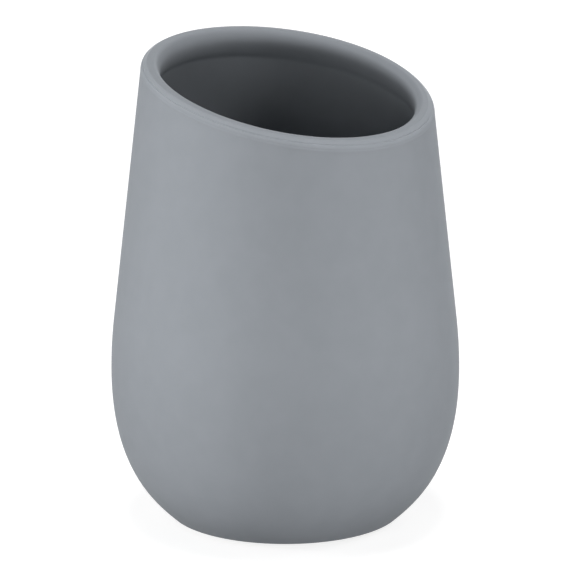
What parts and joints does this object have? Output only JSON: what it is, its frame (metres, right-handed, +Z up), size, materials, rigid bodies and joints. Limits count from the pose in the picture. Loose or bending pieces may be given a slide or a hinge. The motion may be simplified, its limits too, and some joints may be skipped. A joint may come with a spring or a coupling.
{
  "type": "toothbrush holder",
  "caption": "Free-standing toothbrush tumbler with a round belly, a tapering wall and a slanted open mouth with a rolled lip, on small soft pads under its foot.",
  "frame": {"origin": "on the table, under the middle of the tumbler", "axes": "+Z up along the tumbler's axis, +Y towards the back, where the mouth is highest, -Y towards the front, where it is lowest"},
  "size_m": [0.08, 0.08, 0.1092],
  "materials": {
    "coated_ceramic": "soft-touch matt grey coat over slip-cast stoneware",
    "soft_pad": "plain moulded silicone"
  },
  "bodies": {
    "root": {"tumbler": "coated_ceramic", "pad_front_left": "soft_pad", "pad_front_right": "soft_pad", "pad_back_left": "soft_pad", "pad_back_right": "soft_pad"}
  },
  "joints": []
}
